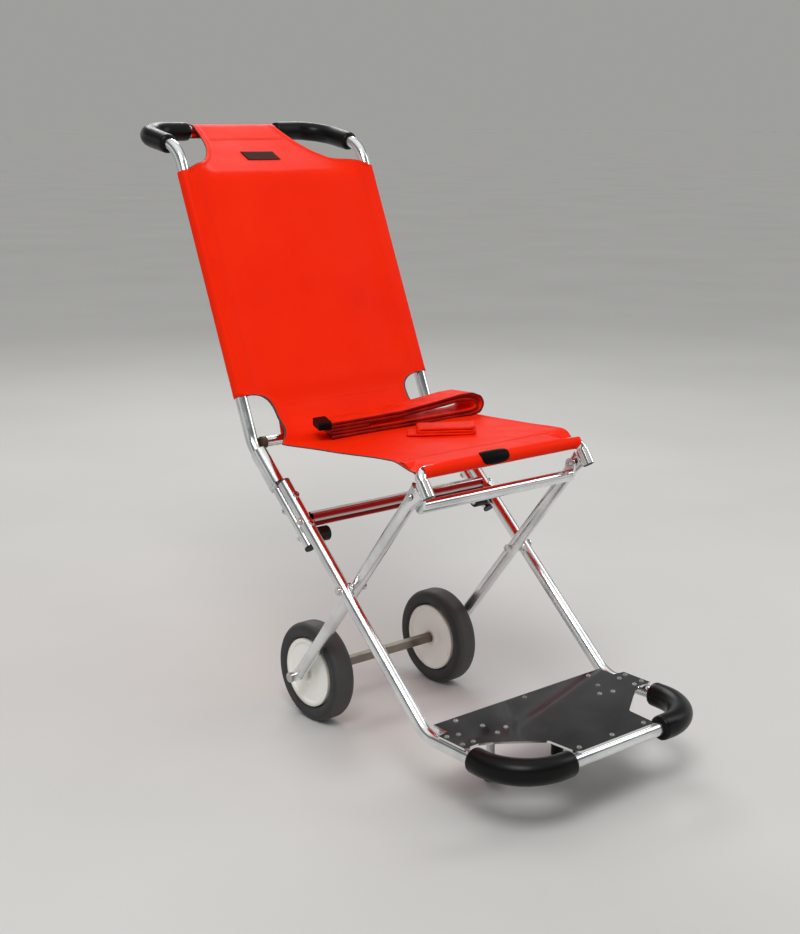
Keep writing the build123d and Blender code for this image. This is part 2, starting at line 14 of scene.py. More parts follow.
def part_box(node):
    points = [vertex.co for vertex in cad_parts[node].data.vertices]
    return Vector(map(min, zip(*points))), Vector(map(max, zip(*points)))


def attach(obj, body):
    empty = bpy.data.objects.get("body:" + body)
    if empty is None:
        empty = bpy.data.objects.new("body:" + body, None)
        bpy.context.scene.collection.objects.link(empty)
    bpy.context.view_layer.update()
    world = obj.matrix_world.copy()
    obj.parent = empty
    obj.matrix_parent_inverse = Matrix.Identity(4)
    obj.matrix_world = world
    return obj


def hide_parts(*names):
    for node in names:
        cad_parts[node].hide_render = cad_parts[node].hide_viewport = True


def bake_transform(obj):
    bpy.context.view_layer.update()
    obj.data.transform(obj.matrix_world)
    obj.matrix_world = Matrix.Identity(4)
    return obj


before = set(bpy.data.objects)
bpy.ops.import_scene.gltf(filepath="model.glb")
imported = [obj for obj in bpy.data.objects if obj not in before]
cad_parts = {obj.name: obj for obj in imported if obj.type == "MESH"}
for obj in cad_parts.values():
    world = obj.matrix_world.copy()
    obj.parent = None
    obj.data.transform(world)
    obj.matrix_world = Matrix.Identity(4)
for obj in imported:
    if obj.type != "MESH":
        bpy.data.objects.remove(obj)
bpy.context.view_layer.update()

mm = 0.001


# ---- where the CAD is
def centre_of(node):
    low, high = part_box(node)
    return (low + high) / 2


axle_y = centre_of("axle_rod").y
tube_r = 9.525


def at(x, point):
    """The scene point at x for a side-plane point."""
    return Vector((x * mm, point[0] * mm + axle_y, point[1] * mm))


def side_point(y, z):
    """The side-plane point of a scene Y and Z."""
    return ((y - axle_y) / mm, z / mm)


def step(point, angle, distance):
    return (point[0] + distance * cos(angle), point[1] + distance * sin(angle))


def smooth(value, low, high):
    """0 below low, 1 above high, and an even curve between them. low may be above high."""
    t = min(1.0, max(0.0, (value - low) / (high - low)))
    return t * t * (3 - 2 * t)


seat_tube_r = 8.0
back_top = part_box("back_tube")[1]
front_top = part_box("seat_front_tube")[1]
head = side_point(back_top.y, back_top.z)
head = (head[0] - tube_r, head[1] - tube_r)
front = side_point(front_top.y, front_top.z)
front = (front[0] - seat_tube_r, front[1] - seat_tube_r)
rear_tube = centre_of("seat_rear_tube")
rear = side_point(rear_tube.y, rear_tube.z)
side_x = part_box("leg_platform_tube")[1].x / mm - tube_r


# ---- materials
def fill_ramp(node, stops):
    """Sets a colour ramp's (position, colour) stops, which are in rising order."""
    elements = node.color_ramp.elements
    elements.remove(elements[1])
    elements[0].position = stops[0][0]
    elements[0].color = (*stops[0][1], 1.0)
    for position, colour in stops[1:]:
        elements.new(position).color = (*colour, 1.0)


class Finish:
    """A node material: its detail is made of noise, waves and UV patterns."""

    def __init__(self, name, colour, roughness, metallic=0.0, **sockets):
        self.material = bpy.data.materials.new(name)
        self.material.use_nodes = True
        self.tree = self.material.node_tree
        self.shader = self.tree.nodes["Principled BSDF"]
        self.coords = self.tree.nodes.new("ShaderNodeTexCoord")
        self.set("Base Color", (*colour, 1.0))
        self.set("Roughness", roughness)
        self.set("Metallic", metallic)
        for socket, value in sockets.items():
            self.set(socket.replace("_", " "), value)
        self.height = None

    def set(self, socket, value):
        self.shader.inputs[socket].default_value = value

    def link(self, source, target):
        self.tree.links.new(source, target)

    def noise(self, scale, detail, stretch=(1, 1, 1), rough=0.5):
        """A noise pattern; scale is in lumps a metre."""
        mapping = self.tree.nodes.new("ShaderNodeMapping")
        mapping.inputs["Scale"].default_value = stretch
        self.link(self.coords.outputs["Object"], mapping.inputs["Vector"])
        node = self.tree.nodes.new("ShaderNodeTexNoise")
        node.inputs["Scale"].default_value = scale
        node.inputs["Detail"].default_value = detail
        node.inputs["Roughness"].default_value = rough
        self.link(mapping.outputs["Vector"], node.inputs["Vector"])
        return node.outputs["Fac"]

    def spread(self, value, low, high, to_low, to_high):
        """value's low..high stretched to to_low..to_high."""
        node = self.tree.nodes.new("ShaderNodeMapRange")
        sockets = ("From Min", "From Max", "To Min", "To Max")
        for socket, number in zip(sockets, (low, high, to_low, to_high)):
            node.inputs[socket].default_value = number
        self.link(value, node.inputs["Value"])
        return node.outputs["Result"]

    def calc(self, kind, *values):
        """One sum of the named kind, such as "ADD", on numbers or other nodes' outputs."""
        node = self.tree.nodes.new("ShaderNodeMath")
        node.operation = kind
        for socket, value in zip(node.inputs, values):
            if isinstance(value, (int, float)):
                socket.default_value = value
            else:
                self.link(value, socket)
        return node.outputs[0]

    def part(self, vector, axis):
        """One coordinate of a vector output."""
        node = self.tree.nodes.new("ShaderNodeSeparateXYZ")
        self.link(vector, node.inputs[0])
        return node.outputs[axis]

    def place(self, axis):
        """A point's scene coordinate along an axis, in metres."""
        return self.part(self.coords.outputs["Object"], axis)

    def waves(self, axis, pitch):
        """A sine of the UV along an axis (0 or 1), from 0 to 1, with a pitch in metres."""
        turns = self.calc("MULTIPLY", self.part(self.coords.outputs["UV"], axis), 2 * pi / pitch)
        return self.spread(self.calc("SINE", turns), -1, 1, 0, 1)

    def slope(self, axis):
        """How far a face looks along a scene axis, from 0 to 1."""
        geometry = self.tree.nodes.new("ShaderNodeNewGeometry")
        return self.calc("ABSOLUTE", self.part(geometry.outputs["True Normal"], axis))

    def distance(self, centre, axis=0):
        """How far a point is from a line through centre along a scene axis, in metres."""
        across = [0.0 if i == axis else 1.0 for i in range(3)]
        value = self.coords.outputs["Object"]
        for kind, operand in (("SUBTRACT", centre), ("MULTIPLY", across)):
            node = self.tree.nodes.new("ShaderNodeVectorMath")
            node.operation = kind
            node.inputs[1].default_value = operand
            self.link(value, node.inputs[0])
            value = node.outputs[0]
        length = self.tree.nodes.new("ShaderNodeVectorMath")
        length.operation = "LENGTH"
        self.link(value, length.inputs[0])
        return length.outputs["Value"]

    def paint(self, mask, *stops):
        """The base colour from a ramp of (position, colour) stops."""
        ramp = self.tree.nodes.new("ShaderNodeValToRGB")
        fill_ramp(ramp, stops)
        self.link(mask, ramp.inputs["Fac"])
        self.link(ramp.outputs["Color"], self.shader.inputs["Base Color"])

    def polish(self, mask, low, high):
        """The roughness, from low to high as the mask goes from 0.3 to 0.7."""
        self.link(self.spread(mask, 0.3, 0.7, low, high), self.shader.inputs["Roughness"])

    def emboss(self, height, strength, depth):
        """Adds a bump; depth is in millimetres."""
        node = self.tree.nodes.new("ShaderNodeBump")
        node.inputs["Strength"].default_value = strength
        node.inputs["Distance"].default_value = depth * mm
        self.link(height, node.inputs["Height"])
        if self.height:
            self.link(self.height, node.inputs["Normal"])
        self.height = node.outputs["Normal"]
        self.link(self.height, self.shader.inputs["Normal"])


def metal(name, colour, smoothest, roughest, worn):
    """Polished metal: smudges, fine draw lines, hairline scratches and dull patches."""
    finish = Finish(name, colour, smoothest, metallic=1.0)
    finish.polish(finish.noise(38, 5), smoothest, roughest)
    finish.paint(finish.noise(21, 6), (0.38, worn), (0.6, colour), (0.75, colour))
    finish.emboss(finish.noise(1400.0, 2), 0.10, 0.05)
    finish.emboss(finish.noise(240, 4, stretch=(1, 0.25, 3.5)), 0.10, 0.12)
    return finish.material


def rubber(name, colour, dusty, smoothest, roughest, grain=900.0, depth=0.12, shine=0.25):
    """Black rubber or plastic: a fine moulded grain with dust in its hollows."""
    finish = Finish(name, colour, smoothest, Specular_IOR_Level=shine)
    finish.paint(finish.noise(60, 6), (0.35, colour), (0.66, colour), (0.9, dusty))
    finish.polish(finish.noise(24, 5), smoothest, roughest)
    finish.emboss(finish.noise(grain, 3), 0.35, depth)
    return finish.material


vinyl_red = (0.94, 0.020, 0.001)
vinyl_deep = (0.88, 0.016, 0.001)
vinyl_light = (0.96, 0.025, 0.002)


def vinyl():
    """Coated nylon: the cloth's weave shows faintly through a satin skin."""
    finish = Finish("orange_vinyl_cloth", vinyl_red, 0.42, Specular_IOR_Level=0.05)
    finish.paint(finish.noise(9, 5), (0.25, vinyl_deep), (0.5, vinyl_red), (0.8, vinyl_light))
    finish.polish(finish.noise(30, 4), 0.36, 0.48)
    weave = finish.calc("MULTIPLY", finish.waves(0, 0.0017), finish.waves(1, 0.0017))
    finish.emboss(weave, 0.16, 0.12)
    finish.emboss(finish.noise(55, 3), 0.10, 1.0)
    return finish.material


def webbing(name, colour, deep):
    """Woven strap: fine ribs across it, crossed by long cords."""
    finish = Finish(name, colour, 0.5, Specular_IOR_Level=0.07)
    finish.paint(finish.noise(35, 5), (0.3, deep), (0.62, colour), (0.9, colour))
    finish.polish(finish.noise(90, 3), 0.42, 0.6)
    ribs = finish.calc("ADD", finish.waves(1, 0.0016), finish.waves(0, 0.0048))
    finish.emboss(ribs, 0.45, 0.35)
    return finish.material


def cloth_edge_shadow_finish():
    """The cloth's edges and the cord along them, nearly black: a painted shadow line along the cloth's free
    edges.
    """
    finish = Finish("vinyl_edge_painted_shadow", (0.03, 0.028, 0.03), 0.6)
    finish.paint(finish.noise(300, 2), (0.3, (0.02, 0.018, 0.02)), (0.7, (0.07, 0.05, 0.05)))
    finish.emboss(finish.noise(1500, 2), 0.4, 0.15)
    return finish.material


def sewing_thread():
    finish = Finish("sewing_thread", (0.82, 0.026, 0.003), 0.5, Specular_IOR_Level=0.15)
    finish.paint(finish.noise(600, 2), (0.3, (0.70, 0.02, 0.003)), (0.7, (0.90, 0.035, 0.006)))
    finish.emboss(finish.noise(2600, 2), 0.5, 0.1)
    return finish.material


def grey(level):
    return (level, level, level)


vinyl_cloth = vinyl()
# The cloth's rims and edge cord are nearly black: a painted shadow line along its free edges.
vinyl_edge_shadow = cloth_edge_shadow_finish()
strap_face = webbing("orange_webbing_face", (0.94, 0.026, 0.003), (0.78, 0.016, 0.002))
# Dark maroon rims for the body strap: painted shade on the front faces of its stacked layers.
strap_rim_painted_shade = webbing("orange_webbing_rim_painted_shade", (0.26, 0.007, 0.004), (0.10, 0.003, 0.002))
thread = sewing_thread()

aluminium = metal("polished_aluminium_tube", (0.86, 0.88, 0.88), 0.13, 0.24, (0.70, 0.72, 0.73))
satin = metal("satin_aluminium_bar", (0.62, 0.61, 0.59), 0.22, 0.38, (0.46, 0.44, 0.42))
axle_grey = metal("dull_axle_bar", (0.30, 0.27, 0.23), 0.26, 0.42, (0.20, 0.17, 0.14))
chrome = metal("chromed_tube", (0.90, 0.90, 0.90), 0.05, 0.14, (0.78, 0.78, 0.78))
steel = metal("zinc_plated_steel", (0.74, 0.74, 0.72), 0.16, 0.34, (0.5, 0.49, 0.47))
brass_bush = metal("sintered_bush_metal", (0.62, 0.58, 0.50), 0.25, 0.42, (0.4, 0.36, 0.3))
grip_rubber = rubber("grip_rubber", grey(0.0025), (0.008, 0.008, 0.007), 0.26, 0.38, shine=0.18)
black_rubber = rubber("black_rubber", grey(0.006), (0.02, 0.019, 0.018), 0.22, 0.4)
black_plastic = rubber(
    "black_moulded_plastic", grey(0.002), grey(0.006), 0.45, 0.6, grain=500.0, depth=0.06, shine=0.06
)
brown_plastic = rubber(
    "brown_moulded_plastic", (0.075, 0.042, 0.024), (0.14, 0.1, 0.07), 0.35, 0.5, grain=500.0, depth=0.1
)


def plate_paint():
    """Gloss black sheet with dust and hairline scratches, and bright metal at its cut edges."""
    black = (0.006, 0.006, 0.007)
    finish = Finish("gloss_black_plate", black, 0.12, Coat_Weight=0.25, Coat_Roughness=0.05)
    dust = finish.noise(45, 7, rough=0.7)
    finish.paint(dust, (0.4, (0.004, 0.004, 0.005)), (0.62, (0.008, 0.008, 0.009)), (0.85, grey(0.04)))
    finish.polish(finish.noise(17, 6), 0.08, 0.26)
    finish.emboss(finish.noise(120, 2), 0.10, 0.3)
    finish.emboss(finish.noise(700, 3, stretch=(0.1, 1.4, 1)), 0.14, 0.05)
    upright = finish.spread(finish.slope(2), 0.4, 0.6, 0, 1)
    finish.link(finish.spread(upright, 0, 1, 1, 0), finish.shader.inputs["Metallic"])
    painted = finish.shader.inputs["Base Color"].links[0].from_socket
    mix = finish.tree.nodes.new("ShaderNodeMix")
    mix.data_type = "RGBA"
    finish.link(upright, mix.inputs["Factor"])
    mix.inputs["A"].default_value = (0.8, 0.8, 0.79, 1)
    finish.link(painted, mix.inputs["B"])
    finish.link(mix.outputs["Result"], finish.shader.inputs["Base Color"])
    return finish.material


def cross_bar_painted_reflection():
    """A polished bar with two maroon bands along its faces, painted reflections of the red seat above, and
    a bright rib between them.
    """
    low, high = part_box("leg_cross_bar")
    finish = Finish("bar_painted_seat_reflection", (0.7, 0.69, 0.67), 0.16, metallic=1.0)
    height = finish.spread(finish.place(2), low.z, high.z, 0, 1)
    wavering = finish.calc("ADD", height, finish.spread(finish.noise(14, 4), 0, 1, -0.05, 0.05))
    # maroon and deep are painted reflections of the red seat's underside; bright is the bar's own metal.
    bright, maroon, deep = (0.62, 0.60, 0.57), (0.33, 0.010, 0.012), (0.10, 0.006, 0.008)
    finish.paint(
        wavering, (0.03, bright), (0.10, maroon), (0.36, deep), (0.42, bright),
        (0.54, (0.36, 0.30, 0.27)), (0.60, maroon), (0.90, maroon), (0.97, bright),
    )
    finish.polish(finish.noise(26, 4), 0.14, 0.3)
    finish.emboss(finish.noise(500, 3, stretch=(0.1, 1, 1)), 0.12, 0.06)
    return finish.material


def collar_painted_shade():
    """Aluminium-coloured round the spigot and black towards the leg: painted shade in the gap beside the
    leg.
    """
    low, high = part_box("sleeve_collars")
    finish = Finish("collar_with_painted_shade", grey(0.8), 0.25)
    across = finish.calc("SUBTRACT", finish.place(1), finish.place(2))
    middle = (low.y + high.y) / 2 - (low.z + high.z) / 2
    # The black towards the leg is painted shade in the gap between collar and leg.
    black = finish.spread(across, middle - 0.014, middle - 0.011, 1, 0)
    finish.paint(black, (0.3, grey(0.8)), (0.7, grey(0.006)))
    finish.link(finish.spread(black, 0, 1, 1, 0), finish.shader.inputs["Metallic"])
    finish.polish(finish.noise(60, 3), 0.2, 0.4)
    finish.emboss(finish.noise(700, 3), 0.2, 0.06)
    return finish.material


def tyre_rubber(side):
    """A grey-black tyre with a dusty tread and fine rings round its sidewalls."""
    finish = Finish("tyre_rubber_" + side, (0.035, 0.035, 0.036), 0.55)
    radius = finish.distance(centre_of("wheel_tyre_" + side))
    cloud = finish.calc("MULTIPLY", finish.noise(40, 5), 0.004)
    band = finish.spread(finish.calc("ADD", radius, cloud), 0.052, 0.080, 0, 1)
    finish.paint(
        band,
        (0.05, (0.016, 0.016, 0.017)),
        (0.18, (0.034, 0.034, 0.035)),
        (0.72, (0.026, 0.026, 0.028)),
        (0.86, grey(0.050)),
    )
    finish.polish(finish.noise(30, 5), 0.5, 0.68)
    rings = finish.calc("SINE", finish.calc("MULTIPLY", radius, 2 * pi / 0.0045))
    finish.emboss(rings, 0.12, 0.3)
    finish.emboss(finish.noise(900, 3), 0.4, 0.15)
    return finish.material


def hub_plastic(side):
    """A cream plastic hub, greyer at its middle and its rim, with faint mould flow."""
    finish = Finish("cream_hub_plastic_" + side, (0.78, 0.76, 0.68), 0.42)
    radius = finish.distance(centre_of("wheel_hub_" + side))
    cloud = finish.calc("MULTIPLY", finish.noise(28, 5), 0.010)
    band = finish.spread(finish.calc("ADD", radius, cloud), 0.006, 0.060, 0, 1)
    finish.paint(
        band,
        (0.08, (0.50, 0.47, 0.40)),
        (0.24, (0.93, 0.91, 0.85)),
        (0.55, (0.99, 0.98, 0.94)),
        (0.88, (0.98, 0.97, 0.92)),
        (0.99, (0.60, 0.57, 0.50)),
    )
    finish.polish(finish.noise(20, 4), 0.36, 0.5)
    finish.emboss(finish.noise(32, 4), 0.25, 1.0)
    finish.emboss(finish.noise(500, 2), 0.15, 0.1)
    return finish.material


def label_cloth():
    """A dark maroon woven label, left blank."""
    finish = Finish("maroon_label_cloth", (0.04, 0.002, 0.002), 0.6, Specular_IOR_Level=0.06)
    finish.paint(finish.noise(160, 4), (0.3, (0.028, 0.002, 0.002)), (0.7, (0.05, 0.003, 0.003)))
    weave = finish.calc("MULTIPLY", finish.waves(0, 0.0009), finish.waves(1, 0.0009))
    finish.emboss(weave, 0.4, 0.12)
    return finish.material


label_maroon = label_cloth()
node_finish = {
    aluminium: (
        "leg_platform_tube back_tube rear_leg_left rear_leg_right splice_sleeve_left "
        "splice_sleeve_right spigot_tube_left spigot_tube_right front_cross_tube axle_bosses"
    ),
    satin: "plate_rear_angle",
    axle_grey: "axle_bar",
    cross_bar_painted_reflection(): "leg_cross_bar",
    collar_painted_shade(): "sleeve_collars",
    chrome: "seat_rear_tube seat_front_tube seat_front_sleeves",
    steel: (
        "axle_rod axle_washers axle_end_caps pivot_bolts pivot_washers pivot_nuts plate_rivets "
        "seat_front_bolts splice_bolts splice_nuts cross_bar_bolts bumper_screws "
        "rest_post_left rest_post_right"
    ),
    black_rubber: "fold_bumpers rest_post_tips spigot_plugs seat_front_plugs",
    brown_plastic: "seat_tube_bushes leg_end_plugs",
    plate_paint(): "foot_plate",
    brass_bush: "wheel_bush_left wheel_bush_right",
    tyre_rubber("left"): "wheel_tyre_left",
    tyre_rubber("right"): "wheel_tyre_right",
    hub_plastic("left"): "wheel_hub_left",
    hub_plastic("right"): "wheel_hub_right",
}
for material, names in node_finish.items():
    for name in names.split():
        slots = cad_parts[name].data.materials
        slots.clear()
        slots.append(material)


# ---- mesh helpers
def mesh_piece(name, vertices, faces, materials, uvs=None):
    """A smooth-shaded object. uvs has one pair for each vertex."""
    data = bpy.data.meshes.new(name)
    data.from_pydata([tuple(v) for v in vertices], [], faces)
    for material in materials:
        data.materials.append(material)
    if uvs:
        layer = data.uv_layers.new(name="UVMap")
        for loop in data.loops:
            layer.data[loop.index].uv = uvs[loop.vertex_index]
    data.shade_smooth()
    data.validate()
    piece = bpy.data.objects.new(name, data)
    bpy.context.scene.collection.objects.link(piece)
    return piece


def thicken(piece, thickness):
    """Gives an open sheet its thickness; its cut edges take its second material."""
    skin = piece.modifiers.new("skin", "SOLIDIFY")
    skin.thickness = thickness * mm
    skin.offset = 0.0
    skin.use_even_offset = True
    skin.material_offset_rim = 1 if len(piece.data.materials) > 1 else 0
    bpy.context.view_layer.update()
    graph = bpy.context.evaluated_depsgraph_get()
    done = bpy.data.meshes.new_from_object(piece.evaluated_get(graph), depsgraph=graph)
    piece.modifiers.clear()
    piece.data = done
    return piece


def grid_faces(rows, columns):
    faces = []
    for i in range(rows - 1):
        for j in range(columns - 1):
            corner = i * columns + j
            faces.append((corner, corner + 1, corner + columns + 1, corner + columns))
    return faces


def tube_faces(first, rings, around):
    """Faces between rings of vertices that follow one another from first."""
    faces = []
    for i in range(rings - 1):
        near, far = first + i * around, first + (i + 1) * around
        for k in range(around):
            after = (k + 1) % around
            faces.append((near + k, near + after, far + after, far + k))
    return faces


def tube_ends(first, rings, around):
    """The two flat faces that close a tube."""
    last = first + (rings - 1) * around
    return [tuple(first + k for k in reversed(range(around))), tuple(last + k for k in range(around))]


def follow_seat(piece):
    """Bakes a piece's placement into its mesh."""
    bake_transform(piece)


# ---- the cloth's line in the side plane
back_angle = radians(66.8)
shoulder = (250.4, 814.3)  # where the sleeves' upper ends are
sleeve_bottom_z = 488.0
panel_lift = 8.5  # the back panel lies this far in front of the tubes' centres
cloth_t = 1.3
wrap = 0.9  # the cloth's middle surface stands this far off a tube it wraps
flap_gap = 1.7  # between the middles of two layers sewn together
sling_bend_r = 72.0
shoulder_bend_r = 40.0
head_flap_run = 38.0  # how far each pocket's inner layer lies against the cloth before its tail
front_flap_run = 36.0
flap_tail = 14.0
facing = back_angle + radians(90)  # out of the back panel, towards the sitter

sleeve_bottom = step(shoulder, back_angle, -(shoulder[1] - sleeve_bottom_z) / sin(back_angle))
panel_length = hypot(shoulder[0] - sleeve_bottom[0], shoulder[1] - sleeve_bottom[1])
panel_bottom = step(sleeve_bottom, facing, panel_lift)
neck_corner = step(step(shoulder, back_angle, -12.0), facing, panel_lift)
seat_back = (rear[0], rear[1] + seat_tube_r + 1.6)


def bearing(start, end):
    return atan2(end[1] - start[1], end[0] - start[0])


def gap(start, end):
    return hypot(end[0] - start[0], end[1] - start[1])


def meet(point_a, angle_a, point_b, angle_b):
    """Where two side-plane lines cross."""
    reach = (point_b[0] - point_a[0]) * sin(angle_b) - (point_b[1] - point_a[1]) * cos(angle_b)
    return step(point_a, angle_a, reach / sin(angle_b - angle_a))


def arc(centre, radius, start, end):
    """Points on an arc, about 1.5 mm apart."""
    count = max(2, round(abs(end - start) * radius / 1.5))
    return [step(centre, start + (end - start) * i / count, radius) for i in range(count + 1)]


def bend(corner, angle_in, angle_out, radius):
    """The arc that rounds a corner between two directions of travel."""
    turn = (angle_out - angle_in + pi) % (2 * pi) - pi
    tangent = radius * abs(tan(turn / 2))
    hand = 1 if turn > 0 else -1
    start = step(corner, angle_in, -tangent)
    centre = step(start, angle_in + hand * pi / 2, radius)
    first = angle_in - hand * pi / 2
    return arc(centre, radius, first, first + turn)


head_r = tube_r + wrap
front_r = seat_tube_r + wrap
neck_rise = bearing(neck_corner, head) + asin(head_r / gap(neck_corner, head))
head_contact = step(head, neck_rise + pi / 2, head_r)
head_flap = step(step(head_contact, neck_rise, -head_flap_run), neck_rise - pi / 2, flap_gap)
flap_rise = bearing(head_flap, head) - asin(head_r / gap(head_flap, head))
seat_travel = bearing(seat_back, front) - asin(front_r / gap(seat_back, front))
front_contact = step(front, seat_travel - pi / 2, front_r)
front_flap = step(step(front_contact, seat_travel, -front_flap_run), seat_travel + pi / 2, flap_gap)
return_rise = bearing(front, front_flap) + asin(front_r / gap(front, front_flap))
sling_corner = meet(panel_bottom, back_angle, seat_back, seat_travel)

cloth_line = [step(head_flap, neck_rise, -flap_tail), head_flap]
cloth_line += arc(head, head_r, flap_rise - pi / 2, neck_rise + pi / 2)
cloth_line += bend(neck_corner, neck_rise + pi, back_angle + pi, shoulder_bend_r)
cloth_line += bend(sling_corner, back_angle - pi, seat_travel - 2 * pi, sling_bend_r)
cloth_line += arc(front, front_r, seat_travel - pi / 2, return_rise + pi * 1.5)
cloth_line += [front_flap, step(front_flap, seat_travel + pi, flap_tail)]


class Line:
    """A line through side-plane points, read by the distance along it."""

    def __init__(self, points):
        self.points = [points[0]]
        self.reach = [0.0]
        for point in points[1:]:
            length = gap(self.points[-1], point)
            if length > 0.05:
                self.reach.append(self.reach[-1] + length)
                self.points.append(point)
        self.length = self.reach[-1]

    def point(self, s):
        i = min(max(bisect_left(self.reach, s), 1), len(self.points) - 1)
        t = (s - self.reach[i - 1]) / (self.reach[i] - self.reach[i - 1])
        a, b = self.points[i - 1], self.points[i]
        return (a[0] + (b[0] - a[0]) * t, a[1] + (b[1] - a[1]) * t)

    def out(self, s):
        """The direction out of the cloth's face, as a side-plane unit vector."""
        a, b = self.point(max(0.0, s - 1.5)), self.point(min(self.length, s + 1.5))
        length = gap(a, b)
        return ((b[1] - a[1]) / length, (a[0] - b[0]) / length)

    def nearest(self, target):
        """How far along the line the point nearest to target is."""
        steps = [i * 0.5 for i in range(int(self.length * 2))]
        return min(steps, key=lambda s: gap(self.point(s), target))


line = Line(cloth_line)


def seat_surface(y):
    """The side-plane point over y on the middle of the flat seat cloth."""
    return (y, seat_back[1] + (y - seat_back[0]) * tan(seat_travel))


s_head = line.nearest(head_contact)
s_bottom = line.nearest(panel_bottom)
s_top = s_bottom - panel_length
s_crest = line.nearest(front_contact)


def s_over(y):
    """The distance along the line at a point of the flat seat over y."""
    return line.nearest(seat_surface(y))


s_notch_end = s_over(-10.0)

neck_half = 74.0
tail_half = 126.0
notch_turn = 38.0  # the notch rounds in to its narrowest over this distance
notch_power = 2.9  # the fullness of that round, as a superellipse's power
neck_fade = 45.0  # how quickly the neck widens to the shoulders


def curve(knots, value):
    """A smooth curve through (value, result) knots."""
    i = min(max(bisect_left(knots, (value, -1e9)), 1), len(knots) - 1)
    before, a = knots[max(i - 2, 0)], knots[i - 1]
    b, after = knots[i], knots[min(i + 1, len(knots) - 1)]
    span = b[0] - a[0]
    t = min(1.0, max(0.0, (value - a[0]) / span))
    rise_a = (b[1] - before[1]) / (b[0] - before[0]) * span
    rise_b = (after[1] - a[1]) / (after[0] - a[0]) * span
    swing = t * (1 - t) * ((rise_a - (b[1] - a[1])) * (1 - t) - (rise_b - (b[1] - a[1])) * t)
    return a[1] + (b[1] - a[1]) * t + swing


# Half the cloth's width: by the notch at distances below the sleeves, then on the seat at a y.
# The seat is not symmetrical: it tapers on the left, and keeps its width on the right.
notch_knots = [
    (38.0, 126.0), (48.0, 126.0), (58.0, 127.0), (66.0, 129.5), (78.0, 136.5), (98.0, 152.5), (118.0, 168.0)
]
seat_knots = {
    -1: [
        (-10, 182.0), (-47, 177.0), (-84, 169.5), (-135, 160.0),
        (-165, 154.0), (-194, 149.5), (-225, 148.0), (-262, 147.5),
    ],
    1: [
        (-10, 178.0), (-47, 176.5), (-135, 176.0), (-205, 176.0),
        (-224, 174.0), (-240, 167.0), (-252, 158.0), (-262, 149.0),
    ],
}
edge_knots = {
    hand: [(s_bottom + d, half) for d, half in notch_knots]
    + [(s_over(y), half) for y, half in seat_knots[hand]]
    + [(s_crest + 10.0, 147.0), (line.length + 1.0, 145.5)]
    for hand in (-1, 1)
}


def half_width(s, hand):
    """Half the cloth's width on one side (hand -1 or 1), at a distance along its line."""
    if s < s_head:
        return neck_half + 5.0
    if s < s_top:
        return neck_half + (side_x - neck_half) * exp(-(s_top - s) / neck_fade)
    if s <= s_bottom:
        return side_x
    if s < s_bottom + notch_turn:
        level = 1 - (s - s_bottom) / notch_turn
        return side_x - (side_x - tail_half) * (1 - level**notch_power) ** (1 / notch_power)
    return curve(edge_knots[hand], s)


def make_rows():
    """Distances along the line, close together where the cloth's edge turns quickly."""
    pocket_steps, neck_steps, panel_steps, notch_steps, seat_steps = 14, 34, 62, 26, 150
    marks = [s_head * i / pocket_steps for i in range(pocket_steps)]
    neck = s_top - s_head
    marks += [s_top - neck * (1 - i / neck_steps) ** 1.6 for i in range(neck_steps)]
    marks += [s_top + panel_length * i / panel_steps for i in range(panel_steps + 1)]
    for i in range(1, notch_steps + 1):
        turn = pi / 2 * i / notch_steps
        marks.append(s_bottom + notch_turn * (1 - abs(cos(turn)) ** (2 / notch_power)))
    lower = line.length - s_bottom - notch_turn
    marks += [s_bottom + notch_turn + lower * i / seat_steps for i in range(1, seat_steps + 1)]
    rows = [marks[0]]
    for s in marks[1:]:
        if s > rows[-1] + 0.04:
            rows.append(s)
    return rows


rows = make_rows()


def ripple(s, x):
    """How far the cloth stands off its line: soft slack, and creases where it bends."""
    slack = noise.noise(Vector((x * 0.012, s * 0.006, 1.3))) * 1.6
    fine = noise.noise(Vector((x * 0.004, s * 0.03, 7.7))) * 0.9
    bend_middle = (s_bottom + s_notch_end) / 2
    creases = exp(-(((s - bend_middle) / 70) ** 2))
    folds = sin(s * 0.155 + 2.0 * noise.noise(Vector((x * 0.008, 0, 3.1)))) * 0.9 * creases
    held = smooth(abs(s - s_head), 8, 60) * smooth(abs(s - s_crest), 12, 70)
    return (slack + fine * (0.4 + creases) + folds) * held


tube_zone = (118, 170)  # from the middle, the cloth moves from its own line to the tubes
shoulder_zone = 90  # and does so over this much of the panel's top
foot_zone = 45  # and this much below the sleeves
corner_droop = 11.0


def cloth_point(s, x, lift=0.0):
    """The scene point on the cloth at a distance along its line and across it."""
    side = abs(x)
    point = line.point(s)
    out = line.out(s)
    on_tube = smooth(side, *tube_zone)
    if s_top - shoulder_zone < s < s_bottom + foot_zone:
        straight = step(panel_bottom, back_angle, s_bottom - s)
        along_tube = smooth(s, s_top - shoulder_zone, s_top - 20)
        share = on_tube * along_tube
        point = tuple(p + (q - p) * share for p, q in zip(point, straight))
        square = (cos(facing), sin(facing))
        out = tuple(p + (q - p) * share for p, q in zip(out, square))
        sleeved = smooth(s, s_top - 60, s_top) * (1 - smooth(s, s_bottom, s_bottom + foot_zone))
        lift += (tube_r + wrap - panel_lift) * on_tube * sleeved
    else:
        sleeved = 0.0
    lift += ripple(s, x) * (1 - on_tube * sleeved)
    y = point[0] + out[0] * lift
    z = point[1] + out[1] * lift
    corner = smooth(y, -212, -262) * smooth(side, 112, 150) * smooth(s, s_crest + 6, s_crest - 6)
    return at(x, (y, z - corner_droop * corner))


# ---- the sling
edge_marks = (0.0, 1.2, 4.0, 8.0, 9.6, 13.0)  # columns at a hem, measured in from the edge
inner_columns = 38
hem_rise = 0.5


